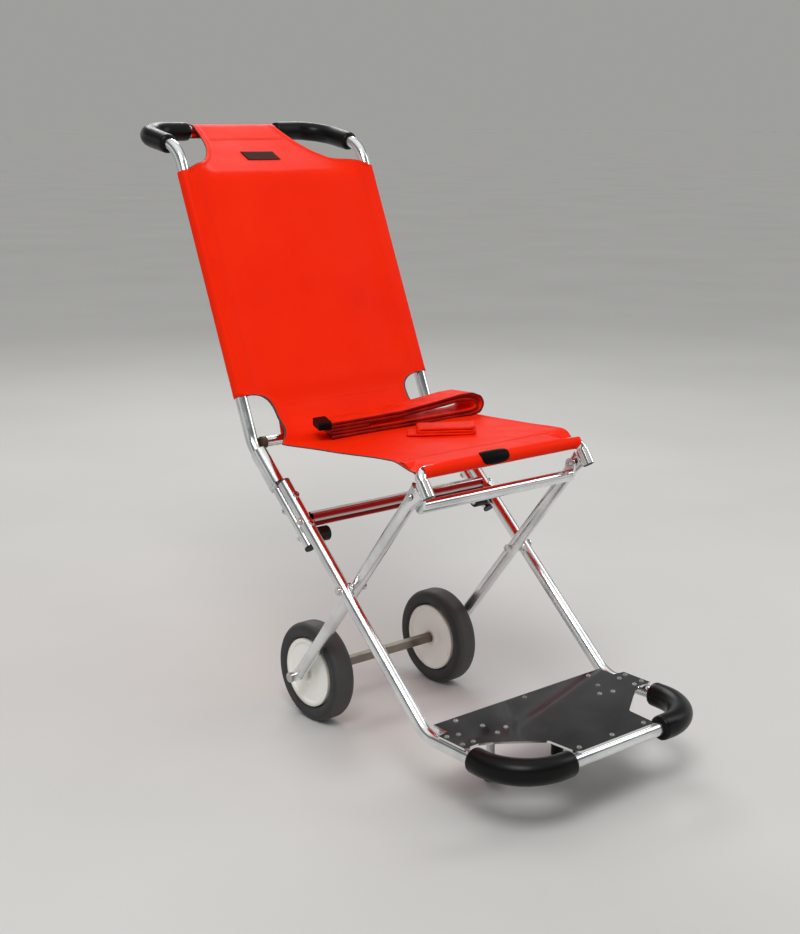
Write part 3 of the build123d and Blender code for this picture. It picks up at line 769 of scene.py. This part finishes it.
def column_xs(s):
    """Where the cloth's columns are at a distance along its line."""
    left, right = half_width(s, -1), half_width(s, 1)
    low, high = edge_marks[-1] - left, right - edge_marks[-1]
    xs = [low + (high - low) * i / inner_columns for i in range(1, inner_columns)]
    return [mark - left for mark in edge_marks] + xs + [right - mark for mark in reversed(edge_marks)]


def hem(s, x):
    """A turned hem stands a little proud of the cloth beside it."""
    return hem_rise * (1 - smooth(half_width(s, 1 if x > 0 else -1) - abs(x), 8.0, 9.6))


# The sleeve round a back tube, as (outward, towards the sitter) from the tube's centre: half way
# round it, then inward to lie against the back of the panel.
sleeve_wrap = []
for i in range(1, 13):
    turn = pi * i / 12
    sleeve_wrap.append((head_r * sin(turn), head_r * cos(turn)))
flap_lift = panel_lift - flap_gap
for i in range(1, 9):
    t = i / 8
    sleeve_wrap.append((-16.0 * t, -head_r + (head_r + flap_lift) * smooth(t, 0, 1)))
sleeve_wrap += [(-21.0, flap_lift), (-27.0, flap_lift)]


def sleeve_point(s, hand, offset):
    """A point of the sleeve round a back tube; offset is (outward, towards the sitter)."""
    centre = step(sleeve_bottom, back_angle, s_bottom - s)
    return at(hand * (side_x + offset[0]), step(centre, facing, offset[1]))


def make_sling():
    """One cloth, from the head-end tube's pocket to the front seat tube's pocket."""
    vertices, uvs = [], []
    columns = len(column_xs(0.0))
    for s in rows:
        sleeved = s_top - 0.5 <= s <= s_bottom + 0.5
        for x in column_xs(s):
            proud = 0.0 if sleeved else hem(s, x)
            vertices.append(cloth_point(s, x, proud))
            uvs.append((x * mm, s * mm))
    faces = grid_faces(len(rows), columns)
    sleeve_rows = [i for i, s in enumerate(rows) if s_top - 0.01 <= s <= s_bottom + 0.01]
    for hand in (-1, 1):
        previous = None
        for i in sleeve_rows:
            s = rows[i]
            ring = [i * columns + (columns - 1 if hand > 0 else 0)]
            around = side_x
            last = (0.0, head_r)
            for offset in sleeve_wrap:
                around += gap(last, offset)
                last = offset
                ring.append(len(vertices))
                vertices.append(sleeve_point(s, hand, offset))
                uvs.append((hand * around * mm, s * mm))
            if previous:
                for a, b, c, d in zip(previous, previous[1:], ring[1:], ring):
                    faces.append((a, b, c, d) if hand > 0 else (d, c, b, a))
            previous = ring
    # Its cut edges take the nearly black painted shadow line.
    sling = mesh_piece("sling", vertices, faces, [vinyl_cloth, vinyl_edge_shadow], uvs)
    return thicken(sling, cloth_t)


def stitches(name, runs):
    """Lines of stitches. A run is a list of (scene point, outward direction)."""
    pitch, length, width, sides = 4.6, 3.1, 0.75, 6
    swells = ((-1, 0.35), (-0.6, 0.9), (0, 1.0), (0.6, 0.9), (1, 0.35))
    vertices, faces = [], []
    for run in runs:
        travelled = 0.0
        next_at = pitch / 2
        for (a, out), (b, _) in zip(run, run[1:]):
            reach = (b - a).length / mm
            while reach > 0 and next_at < travelled + reach:
                along = (b - a).normalized()
                across = along.cross(out).normalized()
                middle = a + (b - a) * ((next_at - travelled) / reach)
                first = len(vertices)
                for t, swell in swells:
                    spine = middle + along * (t * length / 2 * mm) + out * ((0.12 * swell) * mm)
                    for k in range(sides):
                        turn = 2 * pi * k / sides
                        swing = across * cos(turn) + out * sin(turn)
                        vertices.append(spine + swing * (width / 2 * swell * mm))
                faces += tube_faces(first, len(swells), sides)
                faces += tube_ends(first, len(swells), sides)
                next_at += pitch
            travelled += reach
    return mesh_piece(name, vertices, faces, [thread])


def cloth_run(pairs, lift=cloth_t / 2):
    """A run of stitches along (distance along the line, x) pairs on the cloth's face."""
    run = []
    for s, x in pairs:
        here = cloth_point(s, x, lift)
        along = cloth_point(s + 1.0, x, lift) - cloth_point(s - 1.0, x, lift)
        across = cloth_point(s, x + 1.0, lift) - cloth_point(s, x - 1.0, lift)
        out = along.cross(across).normalized()
        if out.dot(Vector((0, *line.out(s)))) < 0:
            out = -out
        run.append((here, out))
    return run


def make_sling_stitching():
    """Rows along the sleeves and hems, and across the two pockets and the rear tube's strip."""
    runs = []
    for hand in (-1, 1):
        for x in (side_x - 19.0, side_x - 22.5):
            sleeve = [(s_top + 3 + i * 5.0, hand * x) for i in range(int(panel_length / 5))]
            runs.append(cloth_run(sleeve))
        for first, last in ((s_head + 4, s_top - 12), (s_bottom + 14, s_crest - 8)):
            edge = [(s, hand * (half_width(s, hand) - 6.0)) for s in rows if first < s < last]
            runs.append(cloth_run(edge, cloth_t / 2 + hem_rise))
    head_rows = [(s_head + 44.0, 72.0), (s_head + 48.0, 72.0)]
    front_rows = [(s_crest - 43.0, 138.0), (s_crest - 46.5, 138.0)]
    for s, half in head_rows + front_rows:
        runs.append(cloth_run([(s, -half + i * half / 30) for i in range(61)]))
    for s in (line.nearest(seat_surface(36.0)), s_bottom + 22.0):
        runs.append(cloth_run([(s, -112 + i * 4.0) for i in range(57)]))
    return stitches("sling_stitching", runs)


def make_edge_shadow_cord():
    """A dark cord along the cloth's free edges, thickest round the notches: a painted shadow line at those
    edges.
    """
    vertices, faces = [], []
    around = 8
    for hand in (-1, 1):
        for first, last in ((s_head - 6, s_top - 1), (s_bottom + 0.02, s_crest + 8)):
            marks = [s for s in rows if first < s < last]
            path = [cloth_point(s, hand * half_width(s, hand), 0.2) for s in marks]
            start = len(vertices)
            for i, (s, here) in enumerate(zip(marks, path)):
                along = (path[min(i + 1, len(path) - 1)] - path[max(i - 1, 0)]).normalized()
                out = Vector((0, *line.out(s)))
                across = along.cross(out).normalized()
                out = across.cross(along)
                notch = smooth(s, s_bottom, s_bottom + 8) * (1 - smooth(s, s_bottom + 70, s_notch_end))
                radius = (0.95 + 0.75 * notch) * mm
                for k in range(around):
                    turn = 2 * pi * k / around
                    vertices.append(here + (across * cos(turn) + out * sin(turn)) * radius)
            faces += tube_faces(start, len(path), around)
            faces += tube_ends(start, len(path), around)
    return mesh_piece("sling_edge_shadow_cord", vertices, faces, [vinyl_edge_shadow])


def make_rear_pocket():
    """The strip under the sling that holds it to the rear seat tube."""
    strip_r = seat_tube_r + wrap
    lead = (seat_surface(22.0)[0], seat_surface(22.0)[1] - flap_gap)
    held = (seat_surface(30.0)[0], seat_surface(30.0)[1] - flap_gap)
    rise = bearing(held, rear) - asin(strip_r / gap(held, rear))
    behind = []
    for s in (s_bottom + 26.0, s_bottom + 14.0):
        foot, out = line.point(s), line.out(s)
        behind.append((foot[0] - out[0] * flap_gap, foot[1] - out[1] * flap_gap))
    end, tail = behind
    climb = bearing(rear, end) + asin(strip_r / gap(rear, end))
    around = arc(rear, strip_r, rise - pi / 2, climb - pi / 2)
    profile = Line([lead, held] + around + [end, tail])
    count, columns = 46, 31
    half = tail_half - 5
    vertices, uvs = [], []
    for i in range(count):
        s = profile.length * i / (count - 1)
        for j in range(columns):
            x = half * (2 * j / (columns - 1) - 1)
            sag = 0.5 * noise.noise(Vector((x * 0.02, s * 0.05, 5.0)))
            point, out = profile.point(s), profile.out(s)
            vertices.append(at(x, (point[0] + out[0] * sag, point[1] + out[1] * sag)))
            uvs.append((x * mm, s * mm))
    faces = grid_faces(count, columns)
    # Its cut edges take the nearly black painted shadow line.
    piece = mesh_piece("rear_tube_pocket", vertices, faces, [vinyl_cloth, vinyl_edge_shadow], uvs)
    return thicken(piece, 1.1), profile.length


sling = make_sling()
sling_stitching = make_sling_stitching()
sling_edge_shadow_cord = make_edge_shadow_cord()
rear_pocket, rear_pocket_length = make_rear_pocket()
for piece in (sling, sling_stitching, sling_edge_shadow_cord, rear_pocket):
    follow_seat(piece)
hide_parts("back_sling", "seat_sling")


# ---- label and pull tab
def patch(name, x_mid, half_x, s_from, s_to, lift, thickness, rounding, materials, swell=0.0):
    """A small cloth shape laid on the sling; rounding is 0 for square and 1 for oval."""
    across, along = 25, 17
    vertices, uvs = [], []
    for i in range(along):
        v = 2 * i / (along - 1) - 1
        for j in range(across):
            u = 2 * j / (across - 1) - 1
            pinch_x = 1 - rounding * (1 - (1 - abs(v) ** 2.6) ** (1 / 2.6)) if rounding else 1.0
            x = x_mid + u * half_x * pinch_x
            s = (s_from + s_to) / 2 + v * (s_to - s_from) / 2
            pillow = swell * (1 - u * u) * (1 - v * v)
            vertices.append(cloth_point(s, x, lift + pillow))
            uvs.append((x * mm, s * mm))
    piece = mesh_piece(name, vertices, grid_faces(along, across), materials, uvs)
    return thicken(piece, thickness)


label_middle = line.nearest(step(neck_corner, neck_rise, 59.0))
label = patch(
    "label_patch", -8.0, 31.0, label_middle - 13, label_middle + 13,
    lift=1.15, thickness=0.7, rounding=0.0, materials=[label_maroon],
)
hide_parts("back_label")
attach(label, "main_frame")

tab = patch(
    "pull_tab_patch", -20.0, 25.0, s_crest - 5, s_crest + 19,
    lift=1.4, thickness=1.4, rounding=0.7, materials=[black_plastic], swell=1.6,
)
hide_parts("pull_tab")
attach(tab, "rear_frame")


# ---- straps
def rounded_line(points, radius):
    """A side-plane line through corner points, its corners rounded."""
    out = [points[0]]
    for a, b, c in zip(points, points[1:], points[2:]):
        angle_in, angle_out = bearing(a, b), bearing(b, c)
        turn = abs((angle_out - angle_in + pi) % (2 * pi) - pi)
        room = 0.48 * min(gap(a, b), gap(b, c))
        out += bend(b, angle_in, angle_out, max(0.4, min(radius, room / max(tan(turn / 2), 0.01))))
    return Line(out + [points[-1]])


def strap_strip(name, route, width, thickness, place, edge, sway, seed):
    """Flat webbing along a route of (along, height) points; place puts them in the scene.

    It sways sideways up to sway, differently for each seed, and its lower layers lie back.
    """
    count = max(8, round(route.length / 3.0))
    top = max(height for _, height in route.points)
    marks = (-1.0, -0.94, -0.8, -0.5, 0.0, 0.5, 0.8, 0.94, 1.0)
    vertices, uvs = [], []
    for i in range(count + 1):
        s = route.length * i / count
        point = route.point(s)
        drift = sway * noise.noise(Vector((s * 0.012, seed, 0.4))) - 0.16 * (top - point[1])
        for mark in marks:
            curl = 0.5 * mark * mark * noise.noise(Vector((s * 0.02, seed + mark, 2.0)))
            vertices.append(place(point[0], drift + mark * width / 2, point[1] + curl))
            uvs.append((mark * width / 2 * mm, s * mm))
    piece = mesh_piece(name, vertices, grid_faces(count + 1, len(marks)), [strap_face, edge], uvs)
    return thicken(piece, thickness)


strap_y = -2.0
strap_width = 50.0
strap_t = 4.2
bundle_t = 3.2


def on_seat(x, across, height):
    """A point over the seat's strap, at a height above the cloth. Its left end is cut askew."""
    y = strap_y + across
    askew = 0.5 * across * smooth(x, -30, -100)
    return at(x + askew, (y, seat_surface(y)[1] + cloth_t / 2 + height))


# From the loose inner end, round the open loop at the right twice, ending underneath.
strap_route = [
    (-40, 12.4), (-98, 11.9), (-105, 9.8), (-98, 7.4), (-40, 7.3), (60, 7.3), (154, 7.6),
    (172, 9.6), (177, 17.0), (168, 25.0), (142, 27.0), (91, 22.6), (20, 17.8), (-30, 17.3),
    (-100, 17.0), (-108, 19.4), (-100, 21.8), (-54, 22.0), (20, 23.4), (91, 28.8), (140, 33.6),
    (168, 34.0), (185, 27.5), (189, 16.0), (180, 5.0), (160, 2.5), (60, 2.4), (-96, 2.4),
]
route = rounded_line(strap_route, 9.0)
# Its rims are dark maroon: painted shade on the layers' edges.
body_strap = strap_strip(
    "body_strap_webbing", route, strap_width, strap_t, on_seat, strap_rim_painted_shade, sway=1.0, seed=3.0
)
follow_seat(body_strap)
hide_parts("body_strap")

bundle_turn = radians(-39.0)
bundle_middle = (38.0, -112.0)


def on_bundle(along, across, height):
    """A point of the second strap's bundle, which lies askew on the seat."""
    x = bundle_middle[0] + along * cos(bundle_turn) - across * sin(bundle_turn)
    y = bundle_middle[1] + along * sin(bundle_turn) + across * cos(bundle_turn)
    return at(x, (y, seat_surface(y)[1] + cloth_t / 2 + height))


bundle_layers = [
    (-58, 1.9), (36, 1.9), (45, 3.4), (38, 5.5), (-38, 5.5), (-46, 7.6), (-38, 9.6), (34, 9.9), (42, 11.2)
]
bundle_route = rounded_line(bundle_layers, 3.5)
bundle = strap_strip(
    "strap_bundle_webbing", bundle_route, strap_width, bundle_t, on_bundle, strap_face, sway=2.0, seed=8.0
)
follow_seat(bundle)
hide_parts("strap_bundle")


def make_keeper():
    """A moulded black tip over the strap's folded end, open towards the rest of the strap."""
    ring = 44
    stations = [(-119.2, 0.80), (-118.6, 0.93), (-117.0, 1.0), (-108.0, 1.0), (-97.0, 1.0), (-96.4, 0.97)]
    middle, half_across, half_height = 20.3, 27.6, 5.8
    shift = -1.0
    vertices = [on_seat(-119.4, shift, middle)]
    uvs = [(0.0, 0.0)]
    for x, scale in stations:
        for k in range(ring):
            turn = 2 * pi * k / ring
            across = half_across * scale * copysign(abs(cos(turn)) ** 0.16, cos(turn))
            height = half_height * scale * copysign(abs(sin(turn)) ** 0.42, sin(turn))
            vertices.append(on_seat(x, across + shift, middle + height))
            uvs.append((x * mm, across * mm))
    faces = [(0, 1 + (k + 1) % ring, 1 + k) for k in range(ring)]
    faces += tube_faces(1, len(stations), ring)
    return mesh_piece("strap_keeper", vertices, faces, [black_plastic], uvs)


keeper = make_keeper()
follow_seat(keeper)
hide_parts("strap_buckle")


# ---- hand grips
def grip_sleeve(name, corners, bend_r, outer, body):
    """A rubber grip round a bent tube: rounded lips, a full middle and a slightly uneven skin."""
    start, middle, end = corners
    before = (middle - start).normalized()
    after = (end - middle).normalized()
    radius = bend_r * mm
    up = before.cross(after).normalized()
    inward = up.cross(before)
    bend_start = middle - before * radius
    centre = bend_start + inward * radius
    first, second = (bend_start - start).length, (end - middle).length - radius
    total = first + pi / 2 * radius + second

    def spine(s):
        """The grip's centre at a distance along it, and the direction there."""
        if s < first:
            return start + before * s, before
        if s < first + pi / 2 * radius:
            turn = (s - first) / radius
            point = centre - inward * (radius * cos(turn)) + before * (radius * sin(turn))
            return point, before * cos(turn) + inward * sin(turn)
        return middle + after * (radius + s - first - pi / 2 * radius), after

    lip = 5.0
    bore = tube_r + 0.15
    lip_r = tube_r + 0.6
    profile = [(0.0, bore)]
    for k in range(7):
        turn = pi / 2 * k / 6
        profile.append((lip * (1 - cos(turn)) * mm, lip_r + (outer - lip_r) * sin(turn)))
    long_steps = 60
    for k in range(1, long_steps):
        t = k / long_steps
        profile.append((lip * mm + (total - 2 * lip * mm) * t, outer + 0.7 * sin(pi * t) ** 0.8))
    for k in range(7):
        turn = pi / 2 * (1 - k / 6)
        profile.append((total - lip * (1 - cos(turn)) * mm, lip_r + (outer - lip_r) * sin(turn)))
    profile.append((total, bore))
    profile += [(total * t, bore) for t in (0.85, 0.7, 0.55, 0.4, 0.25, 0.12)]
    around = 32
    vertices, uvs = [], []
    for s, ring_r in profile:
        point, along = spine(s)
        side = up.cross(along)
        for k in range(around):
            turn = 2 * pi * k / around
            swing = side * cos(turn) + up * sin(turn)
            lumps = 0.0
            if ring_r > tube_r + 1:
                lumps = 0.25 * noise.noise((point + swing * (ring_r * mm)) * 28)
            vertices.append(point + swing * ((ring_r + lumps) * mm))
            uvs.append((k / around, s))
    faces = tube_faces(0, len(profile), around)
    last = (len(profile) - 1) * around
    for k in range(around):
        after_k = (k + 1) % around
        faces.append((last + k, last + after_k, after_k, k))
    piece = mesh_piece(name, vertices, faces, [grip_rubber], uvs)
    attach(piece, body)
    return piece


platform_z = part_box("leg_platform_tube")[0].z / mm + tube_r
front_edge = side_point(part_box("leg_platform_tube")[0].y, 0)[0] + tube_r
handle_rise = radians(10.5)
grip_end_x = 84.0
for side, hand in (("left", -1), ("right", 1)):
    foot = grip_sleeve(
        "foot_grip_cover_" + side,
        [
            at(hand * side_x, (-411.0, platform_z)),
            at(hand * side_x, (front_edge, platform_z)),
            at(hand * grip_end_x, (front_edge, platform_z)),
        ],
        bend_r=72.0, outer=17.2, body="main_frame",
    )
    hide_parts("foot_grip_" + side)
    top = grip_sleeve(
        "head_grip_cover_" + side,
        [
            at(hand * side_x, step(head, handle_rise, -93.0 / cos(handle_rise))),
            at(hand * side_x, head),
            at(hand * grip_end_x, head),
        ],
        bend_r=50.0, outer=14.8, body="main_frame",
    )
    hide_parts("head_grip_" + side)


# ---- floor, light and camera
def make_floor():
    """A pale floor, wide enough to meet the background."""
    finish = Finish("pale_floor", (0.60, 0.60, 0.585), 0.7, Specular_IOR_Level=0.2)
    finish.paint(finish.noise(1.5, 5), (0.3, (0.60, 0.595, 0.58)), (0.7, (0.64, 0.635, 0.62)))
    finish.polish(finish.noise(0.8, 3), 0.66, 0.74)
    reach = 60.0
    corners = [(-reach, -reach, 0), (reach, -reach, 0), (reach, reach, 0), (-reach, reach, 0)]
    floor = mesh_piece("floor", corners, [(0, 1, 2, 3)], [finish.material])


def make_world():
    """A pale studio: plain to the camera, and with dark and bright bands for the metal."""
    world = bpy.data.worlds.new("studio")
    world.use_nodes = True
    bpy.context.scene.world = world
    tree = world.node_tree
    nodes, links = tree.nodes, tree.links
    plain = nodes["Background"]
    plain.inputs["Color"].default_value = (0.344, 0.344, 0.331, 1)
    plain.inputs["Strength"].default_value = 1.0
    lit = nodes.new("ShaderNodeBackground")
    lit.inputs["Strength"].default_value = 0.85
    coords = nodes.new("ShaderNodeTexCoord")
    split = nodes.new("ShaderNodeSeparateXYZ")
    links.new(coords.outputs["Generated"], split.inputs["Vector"])
    height = nodes.new("ShaderNodeValToRGB")
    levels = [
        (0.0, 0.16), (0.46, 0.20), (0.52, 0.62), (0.60, 0.85),
        (0.70, 0.22), (0.79, 0.12), (0.88, 0.80), (1.0, 1.1),
    ]
    fill_ramp(height, [(position, (level, level, level * 0.985)) for position, level in levels])
    shifted = nodes.new("ShaderNodeMapRange")
    shifted.inputs["From Min"].default_value = -1.0
    links.new(split.outputs["Z"], shifted.inputs["Value"])
    links.new(shifted.outputs["Result"], height.inputs["Fac"])
    links.new(height.outputs["Color"], lit.inputs["Color"])
    rays = nodes.new("ShaderNodeLightPath")
    mix = nodes.new("ShaderNodeMixShader")
    links.new(rays.outputs["Is Camera Ray"], mix.inputs["Fac"])
    links.new(lit.outputs[0], mix.inputs[1])
    links.new(plain.outputs[0], mix.inputs[2])
    links.new(mix.outputs[0], nodes["World Output"].inputs["Surface"])


def softbox(name, place, target, size, power):
    """A rectangular lamp at place, turned to face target; power is in watts."""
    data = bpy.data.lights.new(name, "AREA")
    data.shape = "RECTANGLE"
    data.size, data.size_y = size
    data.energy = power
    lamp = bpy.data.objects.new(name, data)
    lamp.location = place
    lamp.rotation_euler = (Vector(target) - Vector(place)).to_track_quat("-Z", "Y").to_euler()
    bpy.context.scene.collection.objects.link(lamp)


make_floor()
make_world()
softbox("key", (-1.6, -1.5, 3.2), (0, 0, 0.4), (1.4, 1.4), 52)
softbox("fill", (2.4, -1.2, 2.1), (0, 0, 0.4), (1.0, 1.8), 15)
softbox("rim", (1.2, 2.4, 2.3), (0, 0, 0.5), (1.6, 0.8), 26)

lens = bpy.data.cameras.new("camera")
lens.lens = 56.47
lens.sensor_width = 36.0
camera = bpy.data.objects.new("camera", lens)
camera.location = (-1.3568, -1.6427, 0.8998)
camera.rotation_euler = (radians(76.447), 0.0, radians(-39.435))
bpy.context.scene.collection.objects.link(camera)
bpy.context.scene.camera = camera
bpy.context.scene.view_settings.view_transform = "Standard"
